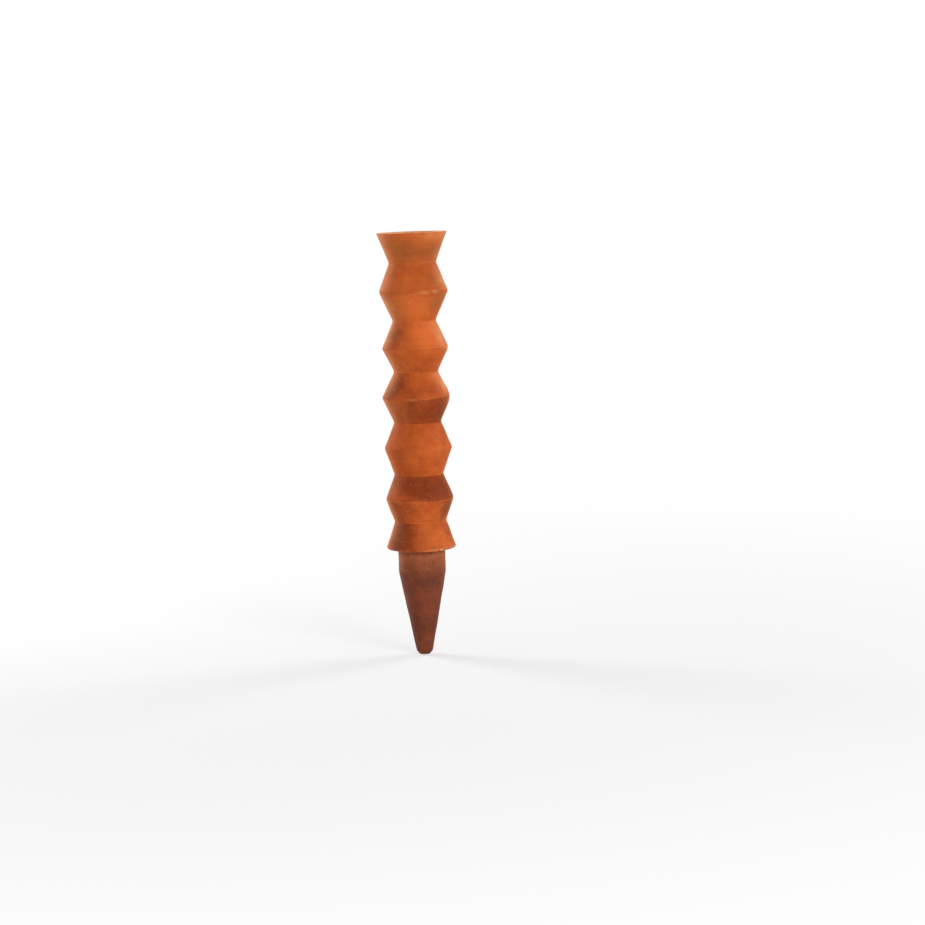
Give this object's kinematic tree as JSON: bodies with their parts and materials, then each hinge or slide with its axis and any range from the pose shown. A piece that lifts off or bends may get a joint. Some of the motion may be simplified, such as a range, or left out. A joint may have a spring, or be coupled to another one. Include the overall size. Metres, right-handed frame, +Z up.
{
  "type": "self watering spike",
  "caption": "Tall terracotta watering spike: a zigzag column of turned hourglass sections with an open funnel mouth and a skirt, standing on a porous pointed stake.",
  "frame": {"origin": "centre of the skirt's underside, on the column's axis at the soil line", "axes": "+Z up along the column's axis, X and Y across it"},
  "size_m": [0.0399, 0.0398, 0.242],
  "materials": {
    "dry_terracotta": "matte",
    "fired_slip": "matte",
    "damp_terracotta": "matte",
    "black_rubber": "matte"
  },
  "bodies": {
    "spike": {"soil_spike": "damp_terracotta", "sealing_washer": "black_rubber"},
    "column": {"rim_section": "dry_terracotta", "second_section": "dry_terracotta", "third_section": "dry_terracotta", "fourth_section": "dry_terracotta", "fifth_section": "dry_terracotta", "skirt_section": "dry_terracotta", "slip_joint_1": "fired_slip", "slip_joint_2": "fired_slip", "slip_joint_3": "fired_slip", "slip_joint_4": "fired_slip", "slip_joint_5": "fired_slip"}
  },
  "joints": [
    {"name": "column_lift", "type": "slide", "parent": "spike", "child": "column", "axis": [0, 0, 1], "range_m": [0, 0.04]}
  ]
}
